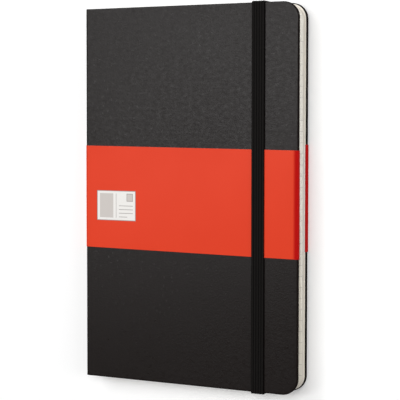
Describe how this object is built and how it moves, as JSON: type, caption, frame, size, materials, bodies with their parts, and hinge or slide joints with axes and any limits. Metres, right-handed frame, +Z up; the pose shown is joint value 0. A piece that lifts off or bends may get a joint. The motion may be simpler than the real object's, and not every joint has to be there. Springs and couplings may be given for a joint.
{
  "type": "address book",
  "caption": "Hard-cover address book with black grained covers, stepped alphabet tabs, a woven elastic closure, an inside pocket and a red paper band round the covers.",
  "frame": {"origin": "centre of the footprint, on the table under the back cover", "axes": "+Z up out of the front cover, +Y towards the head of the pages, +X towards the fore-edge"},
  "size_m": [0.1306, 0.2116, 0.0163],
  "materials": {
    "skin": "fine-grained coated book cloth, satin",
    "board": "grey pressed board",
    "endpaper": "ivory endpaper",
    "page": "ivory writing paper",
    "lining": "starched open-weave cloth",
    "thread": "waxed sewing thread",
    "pocket_card": "ivory card",
    "pocket_cloth": "black book cloth",
    "elastic": "ribbed woven elastic",
    "band": "satin coated paper"
  },
  "bodies": {
    "back_cover": {"back_board": "board", "back_cover_skin": "skin", "back_pastedown": "endpaper", "elastic_head_anchor": "elastic", "elastic_tail_anchor": "elastic", "back_spine_lining": "lining", "back_sewing_threads": "thread", "pocket_side_gusset": "pocket_cloth", "pocket_tail_gusset": "pocket_cloth"},
    "spine": {"spine_skin": "skin", "spine_stiffener": "board"},
    "front_cover": {"front_board": "board", "front_cover_skin": "skin", "front_pastedown": "endpaper"},
    "front_flyleaf": {"front_flyleaf": "endpaper"},
    "leaves_a": {"leaves_a": "page", "front_spine_lining": "lining", "front_sewing_threads": "thread"},
    "leaves_b": {"leaves_b": "page"},
    "leaves_c": {"leaves_c": "page"},
    "leaves_d": {"leaves_d": "page"},
    "leaves_e": {"leaves_e": "page"},
    "leaves_f": {"leaves_f": "page"},
    "leaves_g": {"leaves_g": "page"},
    "leaves_h": {"leaves_h": "page"},
    "leaves_i": {"leaves_i": "page"},
    "leaves_j": {"leaves_j": "page"},
    "leaves_k": {"leaves_k": "page"},
    "leaves_l": {"leaves_l": "page"},
    "leaves_m": {"leaves_m": "page"},
    "leaves_n": {"leaves_n": "page"},
    "leaves_o": {"leaves_o": "page"},
    "leaves_p": {"leaves_p": "page"},
    "leaves_q": {"leaves_q": "page"},
    "leaves_r": {"leaves_r": "page"},
    "leaves_s": {"leaves_s": "page"},
    "leaves_t": {"leaves_t": "page"},
    "leaves_u": {"leaves_u": "page"},
    "leaves_v": {"leaves_v": "page"},
    "leaves_w": {"leaves_w": "page"},
    "leaves_xyz": {"leaves_xyz": "page"},
    "back_flyleaf": {"back_flyleaf": "endpaper"},
    "pocket": {"pocket_panel": "pocket_card"},
    "elastic": {"elastic_front_strap": "elastic", "elastic_head_leg": "elastic", "elastic_tail_leg": "elastic"},
    "band_back": {"band_back_panel": "band", "band_back_edge": "band", "band_back_flap": "band"},
    "band_spine": {"band_spine_panel": "band"},
    "band_front": {"band_front_panel": "band", "band_front_edge": "band", "band_front_flap": "band"}
  },
  "joints": [
    {"name": "spine_fold", "type": "hinge", "parent": "back_cover", "child": "spine", "pos_m": [-0.06375, 0, 0.0015], "axis": [0, -1, 0], "range_deg": [0, 90]},
    {"name": "front_cover_opening", "type": "hinge", "parent": "spine", "child": "front_cover", "pos_m": [-0.06375, 0, 0.01404], "axis": [0, -1, 0], "range_deg": [0, 90], "deforming": ["elastic_front_strap", "elastic_head_leg", "elastic_tail_leg"]},
    {"name": "front_flyleaf_turn", "type": "hinge", "parent": "back_cover", "child": "front_flyleaf", "pos_m": [-0.0635, 0, 0.00801], "axis": [0, -1, 0], "range_deg": [0, 178.65]},
    {"name": "leaves_a_turn", "type": "hinge", "parent": "back_cover", "child": "leaves_a", "pos_m": [-0.0635, 0, 0.00801], "axis": [0, -1, 0], "range_deg": [0, 178.2]},
    {"name": "leaves_b_turn", "type": "hinge", "parent": "back_cover", "child": "leaves_b", "pos_m": [-0.0635, 0, 0.00801], "axis": [0, -1, 0], "range_deg": [0, 177.97]},
    {"name": "leaves_c_turn", "type": "hinge", "parent": "back_cover", "child": "leaves_c", "pos_m": [-0.0635, 0, 0.00801], "axis": [0, -1, 0], "range_deg": [0, 177.75]},
    {"name": "leaves_d_turn", "type": "hinge", "parent": "back_cover", "child": "leaves_d", "pos_m": [-0.0635, 0, 0.00801], "axis": [0, -1, 0], "range_deg": [0, 177.53]},
    {"name": "leaves_e_turn", "type": "hinge", "parent": "back_cover", "child": "leaves_e", "pos_m": [-0.0635, 0, 0.00801], "axis": [0, -1, 0], "range_deg": [0, 177.3]},
    {"name": "leaves_f_turn", "type": "hinge", "parent": "back_cover", "child": "leaves_f", "pos_m": [-0.0635, 0, 0.00801], "axis": [0, -1, 0], "range_deg": [0, 177.07]},
    {"name": "leaves_g_turn", "type": "hinge", "parent": "back_cover", "child": "leaves_g", "pos_m": [-0.0635, 0, 0.00801], "axis": [0, -1, 0], "range_deg": [0, 176.85]},
    {"name": "leaves_h_turn", "type": "hinge", "parent": "back_cover", "child": "leaves_h", "pos_m": [-0.0635, 0, 0.00801], "axis": [0, -1, 0], "range_deg": [0, 176.62]},
    {"name": "leaves_i_turn", "type": "hinge", "parent": "back_cover", "child": "leaves_i", "pos_m": [-0.0635, 0, 0.00801], "axis": [0, -1, 0], "range_deg": [0, 176.4]},
    {"name": "leaves_j_turn", "type": "hinge", "parent": "back_cover", "child": "leaves_j", "pos_m": [-0.0635, 0, 0.00801], "axis": [0, -1, 0], "range_deg": [0, 176.18]},
    {"name": "leaves_k_turn", "type": "hinge", "parent": "back_cover", "child": "leaves_k", "pos_m": [-0.0635, 0, 0.00801], "axis": [0, -1, 0], "range_deg": [0, 175.95]},
    {"name": "leaves_l_turn", "type": "hinge", "parent": "back_cover", "child": "leaves_l", "pos_m": [-0.0635, 0, 0.00801], "axis": [0, -1, 0], "range_deg": [0, 175.72]},
    {"name": "leaves_m_turn", "type": "hinge", "parent": "back_cover", "child": "leaves_m", "pos_m": [-0.0635, 0, 0.00801], "axis": [0, -1, 0], "range_deg": [0, 6.97]},
    {"name": "leaves_n_turn", "type": "hinge", "parent": "back_cover", "child": "leaves_n", "pos_m": [-0.0635, 0, 0.00801], "axis": [0, -1, 0], "range_deg": [0, 6.75]},
    {"name": "leaves_o_turn", "type": "hinge", "parent": "back_cover", "child": "leaves_o", "pos_m": [-0.0635, 0, 0.00801], "axis": [0, -1, 0], "range_deg": [0, 6.53]},
    {"name": "leaves_p_turn", "type": "hinge", "parent": "back_cover", "child": "leaves_p", "pos_m": [-0.0635, 0, 0.00801], "axis": [0, -1, 0], "range_deg": [0, 6.3]},
    {"name": "leaves_q_turn", "type": "hinge", "parent": "back_cover", "child": "leaves_q", "pos_m": [-0.0635, 0, 0.00801], "axis": [0, -1, 0], "range_deg": [0, 6.08]},
    {"name": "leaves_r_turn", "type": "hinge", "parent": "back_cover", "child": "leaves_r", "pos_m": [-0.0635, 0, 0.00801], "axis": [0, -1, 0], "range_deg": [0, 5.85]},
    {"name": "leaves_s_turn", "type": "hinge", "parent": "back_cover", "child": "leaves_s", "pos_m": [-0.0635, 0, 0.00801], "axis": [0, -1, 0], "range_deg": [0, 5.62]},
    {"name": "leaves_t_turn", "type": "hinge", "parent": "back_cover", "child": "leaves_t", "pos_m": [-0.0635, 0, 0.00801], "axis": [0, -1, 0], "range_deg": [0, 5.4]},
    {"name": "leaves_u_turn", "type": "hinge", "parent": "back_cover", "child": "leaves_u", "pos_m": [-0.0635, 0, 0.00801], "axis": [0, -1, 0], "range_deg": [0, 5.17]},
    {"name": "leaves_v_turn", "type": "hinge", "parent": "back_cover", "child": "leaves_v", "pos_m": [-0.0635, 0, 0.00801], "axis": [0, -1, 0], "range_deg": [0, 4.95]},
    {"name": "leaves_w_turn", "type": "hinge", "parent": "back_cover", "child": "leaves_w", "pos_m": [-0.0635, 0, 0.00801], "axis": [0, -1, 0], "range_deg": [0, 4.72]},
    {"name": "leaves_xyz_turn", "type": "hinge", "parent": "back_cover", "child": "leaves_xyz", "pos_m": [-0.0635, 0, 0.00801], "axis": [0, -1, 0], "range_deg": [0, 4.5]},
    {"name": "back_flyleaf_turn", "type": "hinge", "parent": "back_cover", "child": "back_flyleaf", "pos_m": [-0.0635, 0, 0.00801], "axis": [0, -1, 0], "range_deg": [0, 4.05]},
    {"name": "pocket_opening", "type": "hinge", "parent": "back_cover", "child": "pocket", "pos_m": [-0.057, 0, 0.00332], "axis": [0, -1, 0], "range_deg": [0, 3.15], "deforming": ["pocket_side_gusset", "pocket_tail_gusset"]},
    {"name": "elastic_slip", "type": "slide", "parent": "back_cover", "child": "elastic", "axis": [1, 0, 0], "range_m": [0, 0.028], "stiffness_N_per_m": 60},
    {"name": "band_slide", "type": "slide", "parent": "back_cover", "child": "band_back", "axis": [0, 1, 0], "range_m": [-0.05, 0.05]},
    {"name": "band_spine_slide", "type": "slide", "parent": "spine", "child": "band_spine", "axis": [0, 1, 0], "range_m": [-0.05, 0.05]},
    {"name": "band_front_slide", "type": "slide", "parent": "front_cover", "child": "band_front", "axis": [0, 1, 0], "range_m": [-0.05, 0.05]}
  ],
  "couplings": [
    {"joint": "spine_fold", "follows": "front_cover_opening", "ratio": 1},
    {"joint": "front_flyleaf_turn", "follows": "front_cover_opening", "ratio": 1.985},
    {"joint": "leaves_a_turn", "follows": "front_cover_opening", "ratio": 1.98},
    {"joint": "leaves_b_turn", "follows": "front_cover_opening", "ratio": 1.9775},
    {"joint": "leaves_c_turn", "follows": "front_cover_opening", "ratio": 1.975},
    {"joint": "leaves_d_turn", "follows": "front_cover_opening", "ratio": 1.9725},
    {"joint": "leaves_e_turn", "follows": "front_cover_opening", "ratio": 1.97},
    {"joint": "leaves_f_turn", "follows": "front_cover_opening", "ratio": 1.9675},
    {"joint": "leaves_g_turn", "follows": "front_cover_opening", "ratio": 1.965},
    {"joint": "leaves_h_turn", "follows": "front_cover_opening", "ratio": 1.9625},
    {"joint": "leaves_i_turn", "follows": "front_cover_opening", "ratio": 1.96},
    {"joint": "leaves_j_turn", "follows": "front_cover_opening", "ratio": 1.9575},
    {"joint": "leaves_k_turn", "follows": "front_cover_opening", "ratio": 1.955},
    {"joint": "leaves_l_turn", "follows": "front_cover_opening", "ratio": 1.9525},
    {"joint": "leaves_m_turn", "follows": "front_cover_opening", "ratio": 0.0775},
    {"joint": "leaves_n_turn", "follows": "front_cover_opening", "ratio": 0.075},
    {"joint": "leaves_o_turn", "follows": "front_cover_opening", "ratio": 0.0725},
    {"joint": "leaves_p_turn", "follows": "front_cover_opening", "ratio": 0.07},
    {"joint": "leaves_q_turn", "follows": "front_cover_opening", "ratio": 0.0675},
    {"joint": "leaves_r_turn", "follows": "front_cover_opening", "ratio": 0.065},
    {"joint": "leaves_s_turn", "follows": "front_cover_opening", "ratio": 0.0625},
    {"joint": "leaves_t_turn", "follows": "front_cover_opening", "ratio": 0.06},
    {"joint": "leaves_u_turn", "follows": "front_cover_opening", "ratio": 0.0575},
    {"joint": "leaves_v_turn", "follows": "front_cover_opening", "ratio": 0.055},
    {"joint": "leaves_w_turn", "follows": "front_cover_opening", "ratio": 0.0525},
    {"joint": "leaves_xyz_turn", "follows": "front_cover_opening", "ratio": 0.05},
    {"joint": "back_flyleaf_turn", "follows": "front_cover_opening", "ratio": 0.045},
    {"joint": "pocket_opening", "follows": "front_cover_opening", "ratio": 0.035},
    {"joint": "band_spine_slide", "follows": "band_slide", "ratio": 1},
    {"joint": "band_front_slide", "follows": "band_slide", "ratio": 1}
  ]
}
